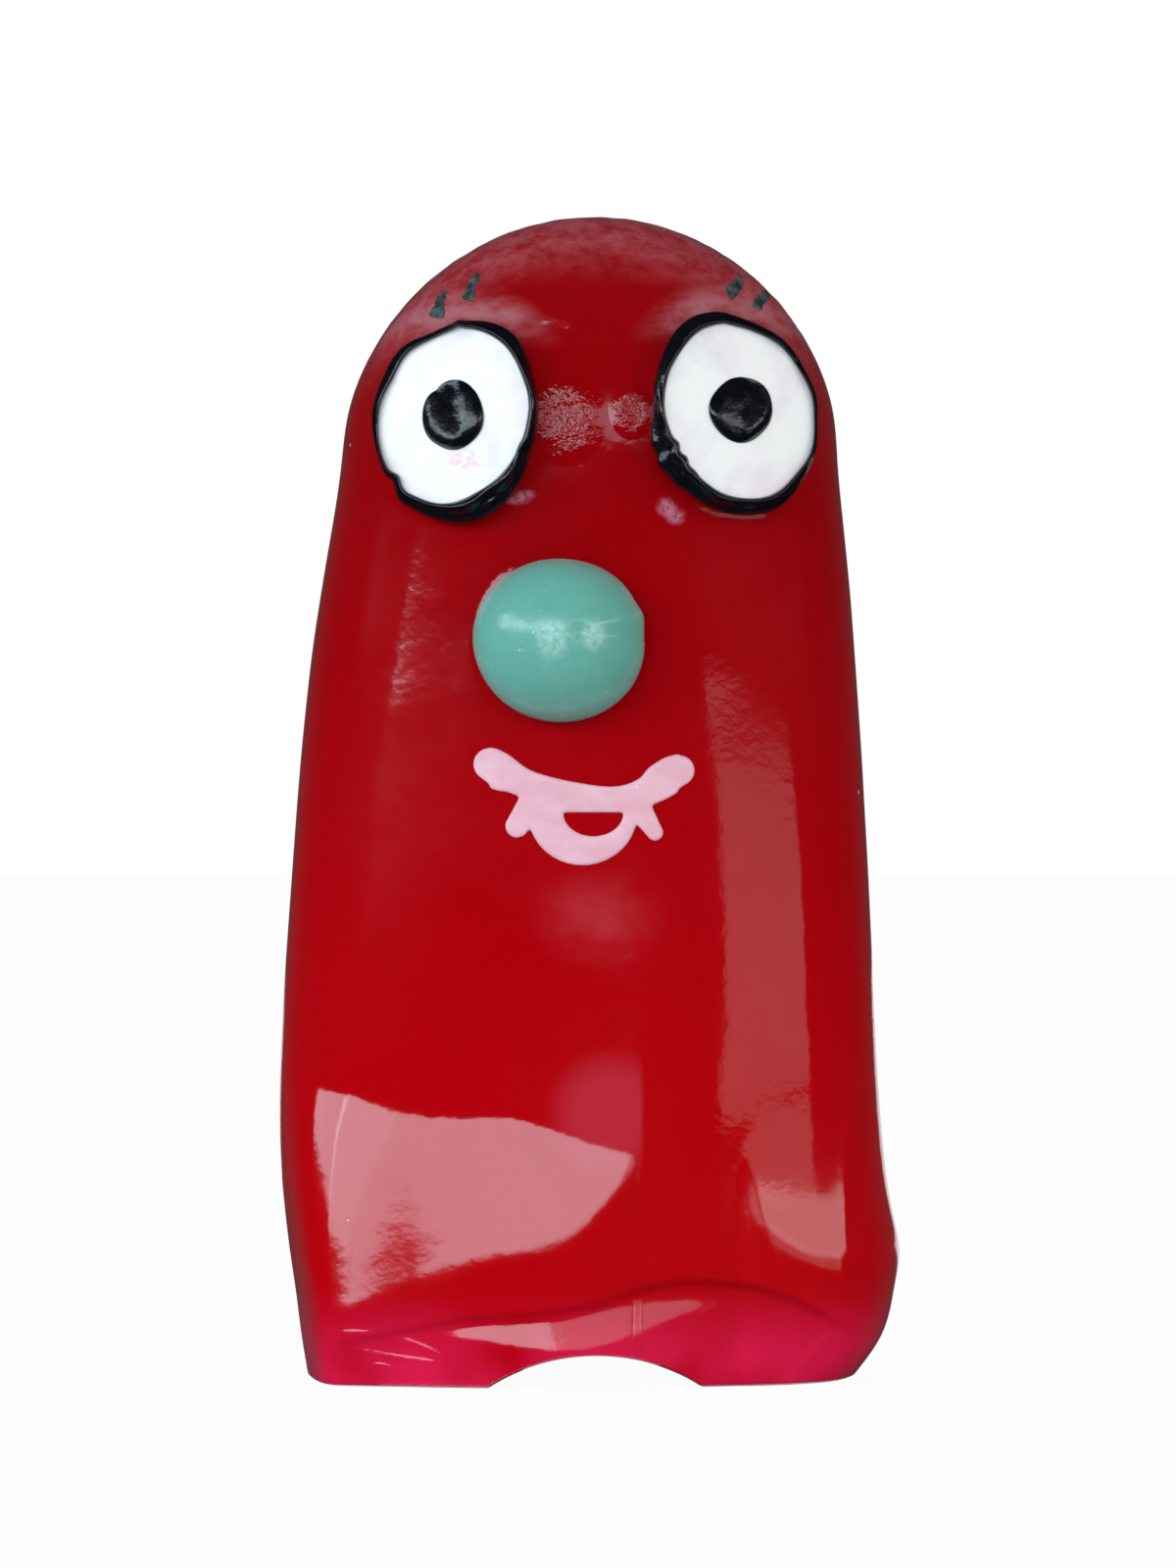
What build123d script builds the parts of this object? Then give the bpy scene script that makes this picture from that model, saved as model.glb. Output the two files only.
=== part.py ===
"""Soft-vinyl finger puppet: a dome-topped sleeve with raised goggle eyes, a ball nose and a mouth.

Frame: +Z up, origin on the floor under the middle of the hem, the face looks along -Y and +X is the
viewer's right. Units are millimetres. The toy's skin is one moulding. It is parted here at the flex
line, where the finger inside bends it, into the skirt below and the head above.
"""

import math
import os

from build123d import *

# Sleeve -------------------------------------------------------------------------------------
height = 66.0  # hem to crown
wall = 1.2  # skin thickness
dome_height = 14.0  # the round top of the head

hem_width = 31.2
hem_front = 10.6  # centre plane to the front wall, which is tucked in under the buckle
hem_back = 10.8
hem_lean = -0.5  # the hem sits to the viewer's left

tuck_height = 3.9  # the fold under the buckle
tuck_width = 33.7
tuck_front = 11.2
tuck_back = 11.3

buckle_height = 6.0  # where the front wall bulges over the hem
buckle_width = 34.6
buckle_front = 13.2
buckle_back = 11.6
buckle_lean = 0.3  # the buckle bulges further to the viewer's right

hip_height = 9.2  # the widest level
hip_width = 34.7
hip_front = 12.9
hip_back = 11.8

belly_height = 19.0
belly_width = 34.0
belly_front = 11.9
belly_back = 11.4
belly_lean = -0.5

chest_width = 32.6
chest_front = 11.4
chest_back = 11.1
chest_lean = -0.5

cheek_drop = 22.0  # below the crown
cheek_width = 30.5
cheek_front = 10.85
cheek_back = 10.5
cheek_lean = -0.2

temple_width = 28.4
temple_front = 10.4
temple_back = 10.0

skirt_square = 3.0  # superellipse exponent: a rounded rectangle at the skirt
head_square = 2.3  # and nearly an ellipse at the head
level_point_count = 24
dome_angles = (18, 36, 52, 66, 77, 85)  # degrees up the dome

# Notches in the hem, front and back, where the sleeve is pinched to pull it off ---------------
notch_radius = 10.9
notch_height = 1.8
notch_x = 0.3

# Flex line ----------------------------------------------------------------------------------
flex_height = 21.0  # the finger's middle joint
flex_lap = 0.8  # the skirt's round top stands this far outside its own walls
flex_clearance = 0.3

# Eyes ---------------------------------------------------------------------------------------
eye_drop = 11.4  # crown to the eyes' centres
eye_spacing = 15.9
face_shift = 0.4  # the face sits a little to the viewer's right
eye_width = 10.0
eye_height = 11.4
eye_yaw = 24.0  # degrees outward
eye_pitch = 9.0  # degrees upward
eye_raise = 1.2  # boss top above the skin, at the eye's centre
eye_root = 3.5  # length of the boss's flare below the skin
eye_flare = 28.0  # degrees between the flare and the eye's axis
rim_depth = 1.0  # the painted rim covers this much of the boss's side
rim_build = 0.25  # thickness of the paint there
rim_lip = 0.2  # how far the rim runs in over the boss's edge
white_edge = 0.3  # thickness of the white at its edge
white_crown = 0.65  # and at its middle
pupil_width = 3.9
pupil_crown = 0.75  # pupil top above the white's middle
pupil_shift = 0.5  # from the eye's centre toward the nose

# Nose ---------------------------------------------------------------------------------------
nose_drop = 24.2  # crown to the nose's centre
nose_x = -1.7
nose_width = 9.6
nose_pitch = 4.0  # degrees upward
nose_crown = 4.2
collar_raise = 1.0  # collar top above the skin
collar_root = 3.0  # length of the collar's flare below the skin
collar_flare = 35.0  # degrees between the flare and the nose's axis
collar_lip = 0.4  # the collar's flat top shows this much all round the nose
collar_round = 0.3

# Mouth --------------------------------------------------------------------------------------
mouth_drop = 33.1  # crown to the middle of the lip's dip
mouth_x = -0.3
mouth_relief = 0.45  # how far the mouth stands out of the skin
lip_reach = 5.2  # the lip's round ends, left and right of its middle
left_corner_rise = 1.8  # and above it
right_corner_rise = 1.5
lip_width = 1.9
chin_drop = 1.6  # middle of the lip to the chin's centre
chin_half_width = 2.85
chin_half_height = 2.15
gap_drop = 0.85  # middle of the lip to the straight top of the gap in the chin
gap_x = 0.45
gap_half_width = 1.65
gap_depth = 1.3
tab_width = 1.35
tab_length = 3.1
tab_reach = 2.75  # middles of the two tabs, left and right of the chin's centre
tab_rise = 0.25  # and above it
tab_lean = 40.0  # degrees from upright, spreading downward

# Lashes -------------------------------------------------------------------------------------
lash_relief = 0.25
lash_width = 0.62
lash_length = 1.35
lash_gap = 0.25  # clear of the eye's rim
# name: (sideways from the eye's centre, lift above the rim, degrees it leans to the right)
lashes = {
    "left_outer_lash": (-1.1, 0.0, -6),
    "left_inner_lash": (0.9, 0.7, 10),
    "right_inner_lash": (-0.35, 0.45, 28),
    "right_outer_lash": (0.95, 0.0, 34),
}

temple_height = height - dome_height
cheek_height = height - cheek_drop
chest_height = (belly_height + cheek_height) / 2


# Sleeve -------------------------------------------------------------------------------------
def level_points(half_width, front, back, shift, square):
    """Points round one level of the sleeve: a superellipse with its own depth front and back."""
    points = []
    for k in range(level_point_count):
        angle = 2 * math.pi * k / level_point_count
        across, along = math.cos(angle), math.sin(angle)
        half_depth = back if along > 0 else front
        x = shift + half_width * math.copysign(abs(across) ** (2 / square), across)
        y = half_depth * math.copysign(abs(along) ** (2 / square), along)
        points.append((x, y))
    return points


def levels(grow):
    """The sleeve's levels from hem to crown, with every wall moved outward by grow."""
    chest_square = (skirt_square + head_square) / 2
    rows = [
        (0, hem_width, hem_front, hem_back, hem_lean, skirt_square),
        (tuck_height, tuck_width, tuck_front, tuck_back, 0, skirt_square),
        (buckle_height, buckle_width, buckle_front, buckle_back, buckle_lean, skirt_square),
        (hip_height, hip_width, hip_front, hip_back, 0, skirt_square),
        (belly_height, belly_width, belly_front, belly_back, belly_lean, skirt_square),
        (chest_height, chest_width, chest_front, chest_back, chest_lean, chest_square),
        (cheek_height, cheek_width, cheek_front, cheek_back, cheek_lean, head_square),
        (temple_height, temple_width, temple_front, temple_back, 0, head_square),
    ]
    found = [
        (z, width / 2 + grow, front + grow, back + grow, shift, square)
        for z, width, front, back, shift, square in rows
    ]
    for degrees in dome_angles:
        rise, shrink = math.sin(math.radians(degrees)), math.cos(math.radians(degrees))
        z = temple_height + (dome_height + grow) * rise
        half_width = (temple_width / 2 + grow) * shrink
        front, back = (temple_front + grow) * shrink, (temple_back + grow) * shrink
        found.append((z, half_width, front, back, 0, head_square))
    return found


def sleeve_solid(grow):
    """The sleeve as a filled solid, grown or shrunk by grow."""
    with BuildPart() as solid:
        for z, *shape in levels(grow):
            with BuildSketch(Plane.XY.offset(z)):
                with BuildLine():
                    Spline(*level_points(*shape), periodic=True)
                make_face()
        loft()
    return solid.part


body = sleeve_solid(0)
pocket = sleeve_solid(-wall)


def surface_point(x, z):
    """Where the front of the sleeve is, at that place on the face."""
    hits = body.find_intersection_points(Axis((x, 0, z), (0, -1, 0)))
    return min((point for point, normal in hits), key=lambda point: point.Y)


def face_plane(x, z, yaw, pitch):
    """A plane on the front of the skin whose normal is turned sideways by yaw and up by pitch."""
    turn, tip = math.radians(yaw), math.radians(pitch)
    normal = (math.sin(turn) * math.cos(tip), -math.cos(turn) * math.cos(tip), math.sin(tip))
    return Plane(origin=surface_point(x, z), x_dir=(math.cos(turn), math.sin(turn), 0), z_dir=normal)


sides = {"left": -1, "right": 1}
eye_planes = {
    side: face_plane(face_shift + way * eye_spacing / 2, height - eye_drop, way * eye_yaw, eye_pitch)
    for side, way in sides.items()
}
nose_plane = face_plane(nose_x, height - nose_drop, 0, nose_pitch)
nose_seat = nose_plane.offset(collar_raise)


# Skin ---------------------------------------------------------------------------------------
def flex_region(radius):
    """Everything below the flex line, with the round top on which the head rolls."""
    with BuildPart() as region:
        with BuildSketch(Plane.YZ):
            with Locations((0, flex_height)):
                Circle(radius)
                Rectangle(4 * radius, 2 * flex_height, align=(Align.CENTER, Align.MAX))
        extrude(amount=hip_width, both=True)
    return region.part


eye_radii = (eye_width / 2, eye_height / 2)
boss_radii = (eye_width / 2 - rim_build, eye_height / 2 - rim_build)
white_radii = (boss_radii[0] - rim_lip, boss_radii[1] - rim_lip)
flare_top = eye_raise - rim_depth
flare_spread = (eye_root + flare_top) * math.tan(math.radians(eye_flare))
collar_radius = nose_width / 2 + collar_lip
collar_spread = (collar_root + collar_raise) * math.tan(math.radians(collar_flare))

with BuildPart() as skin:
    add(body)
    for plane in eye_planes.values():
        with BuildSketch(plane.offset(-eye_root)):
            Ellipse(eye_radii[0] + flare_spread, eye_radii[1] + flare_spread)
        with BuildSketch(plane.offset(flare_top)):
            Ellipse(*eye_radii)
        loft()
        with BuildSketch(plane):
            Ellipse(*boss_radii)
        extrude(amount=eye_raise)
    with BuildSketch(nose_plane.offset(-collar_root)):
        Circle(collar_radius + collar_spread)
    with BuildSketch(nose_seat):
        Circle(collar_radius)
    loft()
    fillet(skin.edges().filter_by(GeomType.CIRCLE).sort_by(Axis.Y)[0], collar_round)
    add(pocket, mode=Mode.SUBTRACT)
    with BuildSketch(Plane.XZ):
        with Locations((notch_x, notch_height - notch_radius)):
            Circle(notch_radius)
    extrude(amount=hip_width, both=True, mode=Mode.SUBTRACT)

flex_radius = max(belly_front, belly_back) + flex_lap
skirt_region = flex_region(flex_radius)
clear_region = flex_region(flex_radius + flex_clearance)

with BuildPart() as skirt_skin:
    add(skin.part)
    add(skirt_region, mode=Mode.INTERSECT)

with BuildPart() as head_skin:
    add(skin.part)
    add(clear_region, mode=Mode.SUBTRACT)

pieces = {"skirt_skin": skirt_skin.part, "head_skin": head_skin.part}


# Eyes ---------------------------------------------------------------------------------------
def cap_radius(half_width, rise):
    """Radius of the sphere whose cap has that half width and rise."""
    return (half_width**2 + rise**2) / (2 * rise)


def domed(seat, half_width, edge, crown, outline):
    """A button on seat with that outline, edge thick at half_width and crown thick at its middle."""
    radius = cap_radius(half_width, crown - edge)
    with BuildPart() as button:
        with BuildSketch(seat):
            outline()
        extrude(amount=crown)
        with Locations(seat.offset(crown - radius)):
            Sphere(radius, mode=Mode.INTERSECT)
    return button.part


def eye_rim(plane):
    """Black band round the boss, with a lip over the boss's edge."""
    with BuildPart() as rim:
        with BuildSketch(plane.offset(flare_top)):
            Ellipse(*eye_radii)
            Ellipse(*white_radii, mode=Mode.SUBTRACT)
        extrude(amount=rim_depth + white_edge)
        with BuildSketch(plane.offset(flare_top)):
            Ellipse(*boss_radii)
        extrude(amount=rim_depth, mode=Mode.SUBTRACT)
    return rim.part


def eye_pupil(seat, white):
    """Domed black bead on the white, with its middle at the seat's origin."""
    bead = domed(
        seat, pupil_width / 2, white_crown, white_crown + pupil_crown,
        lambda: Circle(pupil_width / 2),
    )
    with BuildPart() as pupil:
        add(bead)
        add(white, mode=Mode.SUBTRACT)
    return pupil.part


for side, plane in eye_planes.items():
    boss_top = plane.offset(eye_raise)
    white = domed(
        boss_top, white_radii[1], white_edge, white_crown,
        lambda: Ellipse(*white_radii),
    )
    pupil_place = boss_top.from_local_coords((-sides[side] * pupil_shift, 0, 0))
    pupil_seat = Plane(origin=pupil_place, x_dir=plane.x_dir, z_dir=plane.z_dir)
    pieces[f"{side}_eye_rim"] = eye_rim(plane)
    pieces[f"{side}_eye_white"] = white
    pieces[f"{side}_pupil"] = eye_pupil(pupil_seat, white)


# Nose ---------------------------------------------------------------------------------------
nose_edge = nose_crown / 4  # the ball's side stands upright this far before it rounds over
pieces["nose"] = domed(nose_seat, nose_width / 2, nose_edge, nose_crown, lambda: Circle(nose_width / 2))


# Mouth --------------------------------------------------------------------------------------
def laid_on_skin(outline, layer):
    """The stretch of a layer on the front of the skin that the outline covers, seen from the front."""
    with BuildPart() as patch:
        extrude(outline, amount=hip_width, dir=(0, -1, 0))
        add(layer, mode=Mode.INTERSECT)
        add(body, mode=Mode.SUBTRACT)
    return patch.part


lip_height = height - mouth_drop
chin_height = lip_height - chin_drop

with BuildSketch(Plane.XZ) as mouth_gap:
    with Locations((mouth_x + gap_x, lip_height - gap_drop)):
        Ellipse(gap_half_width, gap_depth)
        Rectangle(2 * gap_half_width, gap_depth, align=(Align.CENTER, Align.MIN), mode=Mode.SUBTRACT)

with BuildSketch(Plane.XZ) as mouth_outline:
    with BuildLine(mode=Mode.PRIVATE) as lip_line:
        ThreePointArc(
            (mouth_x - lip_reach, lip_height + left_corner_rise),
            (mouth_x, lip_height),
            (mouth_x + lip_reach, lip_height + right_corner_rise),
        )
    SlotArc(lip_line.edge(), lip_width)
    with Locations((mouth_x, chin_height)):
        Ellipse(chin_half_width, chin_half_height)
    for way in sides.values():
        with Locations((mouth_x + way * tab_reach, chin_height + tab_rise)):
            SlotOverall(tab_length, tab_width, rotation=90 + way * tab_lean)
    add(mouth_gap.sketch, mode=Mode.SUBTRACT)

pieces["mouth"] = laid_on_skin(mouth_outline.sketch, sleeve_solid(mouth_relief))


# Lashes -------------------------------------------------------------------------------------
lash_layer = sleeve_solid(lash_relief)
for name, (sideways, lift, lean) in lashes.items():
    eye = eye_planes[name.split("_")[0]].origin
    rim_top = eye.Z + eye_height / 2 + lash_gap
    with BuildSketch(Plane.XZ) as stroke:
        with Locations((eye.X + sideways, rim_top + lift + lash_length / 2)):
            SlotOverall(lash_length, lash_width, rotation=90 - lean)
    pieces[name] = laid_on_skin(stroke.sketch, lash_layer)


os.makedirs("parts", exist_ok=True)
for name, piece in pieces.items():
    piece.label = name
    export_step(piece, f"parts/{name}.step")
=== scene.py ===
"""Looks of the soft-vinyl finger puppet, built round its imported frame.

Sizes here are in millimetres, in the frame's axes: +Z up, the face looks along -Y, +X is the viewer's
right. The red skin is one mesh worked out by formula: a sleeve through its levels, the raised flares
round the eyes and nose, and the buckles over the hem. The painted pieces lie on it. In materials,
lengths are in metres.
"""

import math

import bpy
import numpy as np
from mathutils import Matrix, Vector
from mathutils.bvhtree import BVHTree


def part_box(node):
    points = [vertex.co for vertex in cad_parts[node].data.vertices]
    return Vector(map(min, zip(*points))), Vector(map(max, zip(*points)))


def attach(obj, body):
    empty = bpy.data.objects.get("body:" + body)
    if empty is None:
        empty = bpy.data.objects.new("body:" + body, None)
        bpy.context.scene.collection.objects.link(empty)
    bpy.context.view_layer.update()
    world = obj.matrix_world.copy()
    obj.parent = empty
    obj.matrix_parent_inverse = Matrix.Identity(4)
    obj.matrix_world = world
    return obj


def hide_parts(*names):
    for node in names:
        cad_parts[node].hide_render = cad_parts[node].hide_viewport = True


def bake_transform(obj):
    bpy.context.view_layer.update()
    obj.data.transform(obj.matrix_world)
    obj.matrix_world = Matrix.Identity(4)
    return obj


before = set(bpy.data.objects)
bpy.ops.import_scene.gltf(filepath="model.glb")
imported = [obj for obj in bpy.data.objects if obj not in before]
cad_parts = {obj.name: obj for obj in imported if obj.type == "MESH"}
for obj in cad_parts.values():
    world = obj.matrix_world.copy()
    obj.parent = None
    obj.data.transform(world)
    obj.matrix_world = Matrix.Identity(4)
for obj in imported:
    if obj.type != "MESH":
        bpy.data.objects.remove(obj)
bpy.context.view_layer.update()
MM = 0.001

# Sleeve, close to the levels of the solids ----
WALL = 1.2
HEM_ROUND = 0.12  # how far up the hem's round edge starts
TEMPLE = 52.0  # where the dome starts
DOME_HEIGHT = 14.0
DOME_ROUND = 1.95  # superellipse exponent of the dome's side view
DOME_SHIFT = 0.25  # of the dome's top, sideways
DOME_ANGLES = (12, 25, 38, 50, 61, 71, 80, 86, 90)
# height: half width, front depth, back depth, sideways shift, superellipse exponent
LEVELS = {
    0.0: (15.6, 12.6, 10.8, -0.5, 3.0),
    2.2: (16.55, 12.55, 11.1, 0.1, 3.0),
    4.9: (17.1, 12.5, 11.5, 0.3, 3.0),
    7.0: (17.4, 12.42, 11.7, 0.28, 3.0),
    9.2: (17.35, 12.32, 11.8, -0.05, 3.0),
    12.5: (17.25, 12.18, 11.7, -0.42, 3.0),
    19.0: (16.98, 11.88, 11.4, -0.62, 3.0),
    29.0: (16.42, 11.48, 11.1, -0.55, 2.75),
    39.0: (15.7, 11.18, 10.75, -0.4, 2.45),
    46.0: (14.95, 10.97, 10.4, -0.18, 2.3),
    TEMPLE: (14.2, 10.78, 10.0, 0.0, 2.3),
}
NOTCH_RADIUS = 10.9
NOTCH_HEIGHT = 1.8
NOTCH_X = 0.3
NOTCH_REACH = 8.0  # up to here the rows of points are pushed up over the notch

# Face ----
EYE_YAW = 24.0
EYE_PITCH = 9.0
NOSE_PITCH = 4.0
NOSE_RADIUS = 4.8
NOSE_BASE = 0.55  # its foot over the skin
NOSE_EDGE, NOSE_DOME = 0.35, 4.2  # height of its edge over the foot, and of its middle over its edge

# Tools ----
def spline(knots, values):
    """Natural cubic spline through values, one row per knot, as a function of an array of places."""
    knots, values = np.asarray(knots, float), np.asarray(values, float)
    values = values.reshape(len(knots), -1)
    step = np.diff(knots)
    slope = np.diff(values, axis=0) / step[:, None]
    count = len(knots)
    system = np.eye(count)
    right = np.zeros_like(values)
    for k in range(1, count - 1):
        system[k, k - 1 : k + 2] = step[k - 1], 2 * (step[k - 1] + step[k]), step[k]
        right[k] = 6 * (slope[k] - slope[k - 1])
    bend = np.linalg.solve(system, right)

    def at(places):
        places = np.asarray(places, float)
        k = np.clip(np.searchsorted(knots, places) - 1, 0, count - 2)
        gap = step[k][..., None]
        left = (places - knots[k])[..., None]
        rest = gap - left
        found = (
            (bend[k] * rest**3 + bend[k + 1] * left**3) / (6 * gap)
            + (values[k] / gap - bend[k] * gap / 6) * rest
            + (values[k + 1] / gap - bend[k + 1] * gap / 6) * left
        )
        return found[..., 0] if found.shape[-1] == 1 else found

    return at


def curve(points):
    """Smooth height of a line drawn through (x, z) points, as a function of x, level past its ends."""
    xs, zs = zip(*points)
    line = spline(xs, zs)
    return lambda x: line(np.clip(x, xs[0], xs[-1]))


def smooth(low, high, x):
    """0 below low, 1 above high, smooth between."""
    t = np.clip((x - low) / (high - low), 0, 1)
    return t * t * (3 - 2 * t)


def larger(a, b, width):
    """The larger of a and b, rounded where they are closer than width."""
    near = np.maximum(width - np.abs(a - b), 0) / width
    return np.maximum(a, b) + near**2 * width / 4


def soft_positive(x, width):
    """x where it is positive and 0 where it isn't, rounded over width."""
    return larger(x, 0.0, 2 * width)


def wobble(angle, sizes, seed):
    """Closed wavy line: the sum of one wave per size, of 2, 3, 4 ... turns, with phases from seed."""
    phases = np.random.default_rng(seed).uniform(0, 2 * math.pi, len(sizes))
    waves = enumerate(zip(sizes, phases))
    return sum(size * np.sin((k + 2) * angle + phase) for k, (size, phase) in waves)


def lumps(points, size, seed, waves=14):
    """Smooth random relief between about -1 and 1, whose bumps are about size across."""
    draw = np.random.default_rng(seed)
    total = np.zeros(points.shape[:-1])
    for _ in range(waves):
        direction = draw.normal(size=3)
        direction /= np.linalg.norm(direction)
        pitch = size * draw.uniform(0.7, 1.6)
        total += np.sin(points @ direction * 2 * math.pi / pitch + draw.uniform(0, 2 * math.pi))
    return total / math.sqrt(waves)


def show(name, data):
    """A new object in the scene."""
    thing = bpy.data.objects.new(name, data)
    bpy.context.scene.collection.objects.link(thing)
    return thing


def add_mesh(name, points, faces, material, slot=None, body=None):
    """A piece from points in millimetres, riding on a CAD body if one is named."""
    mesh = bpy.data.meshes.new(name)
    mesh.from_pydata((np.asarray(points, float) * MM).tolist(), [], faces)
    mesh.validate()
    mesh.update()
    mesh.materials.append(material)
    mesh.shade_smooth()
    piece = show(name, mesh)
    if body:
        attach(piece, body)
    return piece


def grid_faces(rows, columns, closed=True):
    """Quads between neighbouring points of rows of columns, joined round if closed."""
    faces = []
    for low in range(0, (rows - 1) * columns, columns):
        for j in range(columns if closed else columns - 1):
            k = (j + 1) % columns
            faces.append((low + j, low + k, low + columns + k, low + columns + j))
    return faces


# Camera ----
CAMERA_DISTANCE = 520.0
CAMERA_RISE = 0.5  # degrees above the horizon
VIEW_HEIGHT = 89.7  # what the picture's height covers at the puppet
VIEW_CENTRE = (-0.1, 0.0, 33.6)


def make_camera():
    """Camera in front of the puppet, a little above the horizon."""
    data = bpy.data.cameras.new("camera")
    data.sensor_width = 36.0
    data.lens = data.sensor_width * CAMERA_DISTANCE / VIEW_HEIGHT
    data.clip_start = 0.01
    camera = show("camera", data)
    rise = math.radians(CAMERA_RISE)
    back = Vector((0, -math.cos(rise), math.sin(rise)))
    camera.location = (Vector(VIEW_CENTRE) + back * CAMERA_DISTANCE) * MM
    camera.rotation_euler = (math.radians(90) - rise, 0, 0)
    bpy.context.scene.camera = camera


# Materials ----
class Nodes:
    """Short ways to build one material's nodes."""

    def __init__(self, name):
        self.material = bpy.data.materials.new(name)
        self.material.use_nodes = True
        self.tree = self.material.node_tree
        self.shader = self.tree.nodes["Principled BSDF"]
        self.place = self.add("ShaderNodeTexCoord").outputs["Object"]

    def add(self, kind, **settings):
        node = self.tree.nodes.new(kind)
        for key, value in settings.items():
            setattr(node, key, value)
        return node

    def link(self, source, target):
        self.tree.links.new(source, target)

    def put(self, socket, value):
        """Sets a socket to a number or colour, or links an output to it."""
        if isinstance(value, bpy.types.NodeSocket):
            self.link(value, socket)
        else:
            socket.default_value = value

    def set(self, **values):
        for key, value in values.items():
            self.put(self.shader.inputs[key.replace("_", " ")], value)

    def noise(self, scale, detail=3.0, roughness=0.55, stretch=None):
        """Noise whose lumps are about 1/scale metres across, from 0 to 1."""
        place = self.place
        if stretch:
            mapping = self.add("ShaderNodeMapping")
            mapping.inputs["Scale"].default_value = stretch
            self.link(place, mapping.inputs["Vector"])
            place = mapping.outputs["Vector"]
        node = self.add("ShaderNodeTexNoise")
        values = {"Vector": place, "Scale": scale, "Detail": detail, "Roughness": roughness}
        for key, value in values.items():
            self.put(node.inputs[key], value)
        return node.outputs["Fac"]

    def specks(self, scale, size, share):
        """1 on small scattered dots, in about this share of the cells, and 0 elsewhere."""
        cells = self.add("ShaderNodeTexVoronoi")
        self.link(self.place, cells.inputs["Vector"])
        cells.inputs["Scale"].default_value = scale
        dots = self.ramp(cells.outputs["Distance"], size, size * 0.6)
        colour = self.add("ShaderNodeSeparateColor")
        self.link(cells.outputs["Color"], colour.inputs["Color"])
        chosen = self.ramp(colour.outputs["Red"], 1 - share, 1 - share + 0.002)
        return self.times(dots, chosen)

    def ramp(self, value, low, high, start=0.0, end=1.0):
        """value from low to high, turned into start to end."""
        node = self.add("ShaderNodeMapRange", interpolation_type="SMOOTHSTEP")
        self.put(node.inputs["Value"], value)
        ends = (low, high, start, end) if low < high else (high, low, end, start)
        for key, number in zip(("From Min", "From Max", "To Min", "To Max"), ends):
            node.inputs[key].default_value = number
        return node.outputs["Result"]

    def math(self, operation, a, b=0.0, c=0.0):
        node = self.add("ShaderNodeMath", operation=operation)
        for socket, value in zip(node.inputs, (a, b, c)):
            self.put(socket, value)
        return node.outputs["Value"]

    def times(self, a, b):
        return self.math("MULTIPLY", a, b)

    def uneven(self, scale, detail, low, high):
        """A number that wanders between low and high over the surface."""
        return self.ramp(self.noise(scale, detail), 0.3, 0.75, low, high)

    def mix(self, share, first, second):
        """Colour that goes from first to second as share goes from 0 to 1."""
        node = self.add("ShaderNodeMix", data_type="RGBA")
        self.put(node.inputs["Factor"], share)
        colours = [s for s in node.inputs if s.type == "RGBA"]
        for socket, value in zip(colours, (first, second)):
            self.put(socket, value)
        return next(s for s in node.outputs if s.type == "RGBA")

    def axis(self, letter):
        """The place along X, Y or Z, in metres."""
        node = self.add("ShaderNodeSeparateXYZ")
        self.link(self.place, node.inputs["Vector"])
        return node.outputs[letter]

    def around(self, centre, radii, none, full):
        """0 at the distance none from the centre and 1 at full, measured in radii along x, y and z."""
        away = self.place
        for operation, vector in (("SUBTRACT", centre), ("DIVIDE", radii)):
            node = self.add("ShaderNodeVectorMath", operation=operation)
            self.link(away, node.inputs[0])
            node.inputs[1].default_value = vector
            away = node.outputs["Vector"]
        length = self.add("ShaderNodeVectorMath", operation="LENGTH")
        self.link(away, length.inputs[0])
        return self.ramp(length.outputs["Value"], none, full)

    def bump(self, height, distance, strength=1.0, under=None):
        node = self.add("ShaderNodeBump")
        self.put(node.inputs["Height"], height)
        node.inputs["Distance"].default_value = distance
        node.inputs["Strength"].default_value = strength
        if under:
            self.link(under, node.inputs["Normal"])
        return node.outputs["Normal"]

    def finish(self, colour, roughness, relief):
        """Sets the paint: roughness as for uneven, and relief as a noise's scale, depth and strength."""
        scale, depth, strength = relief
        normal = self.bump(self.noise(scale), depth, strength)
        self.set(Base_Color=colour, Roughness=self.uneven(*roughness), Normal=normal)
        return self.material


REST_PLACE = "rest_place"  # the skin keeps its places at rest, so its marks follow it as it bends
# Painted highlights and rough spots on the vinyl: place and reach along x, y and z, in metres
UNDER_EYE_HIGHLIGHTS = (  # painted highlights under the eyes
    ((-0.0041, -0.0125, 0.0496), (0.0008, 0.004, 0.0003)),
    ((-0.0036, -0.0125, 0.0499), (0.0006, 0.004, 0.0003)),
    ((0.0043, -0.0125, 0.0492), (0.0006, 0.004, 0.0006)),
    ((0.0048, -0.0125, 0.0487), (0.0006, 0.004, 0.0005)),
)
WORN = (  # rough spots between the eyes
    ((-0.0014, -0.0115, 0.0542), (0.0018, 0.006, 0.0020)),
    ((0.0024, -0.0115, 0.0546), (0.0010, 0.006, 0.0012)),
)
FOLD_REFLECTION = ((0.0012, -0.0125, 0.0153), (0.0034, 0.006, 0.0034))  # painted reflection beside the upright fold
CHIN_HIGHLIGHT = ((0.0004, -0.0125, 0.0262), (0.0032, 0.006, 0.0024))  # fainter painted highlight, below the mouth
BROW_HIGHLIGHT_REACH = (0.0058, 0.012, 0.0062)  # of the painted highlight over an eye
# Colours of the vinyl and of the light painted on it
DEEP_REDS = (0.27, 0.0, 0.001, 1), (0.30, 0.0, 0.003, 1)  # it wanders between the two
# painted light: the red is lighter low down, as lit from below and through the wall
LIT_LOW_RED = (0.47, 0.0, 0.003, 1)
# painted glow of light through the thin hem
HEM_GLOW_PINK = (0.76, 0.012, 0.08, 1)
# painted reflection beside the fold
FOLD_REFLECTION_PINK = (0.50, 0.025, 0.045, 1)
# painted highlight below the mouth
CHIN_HIGHLIGHT_PINK = (0.50, 0.045, 0.06, 1)
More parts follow.
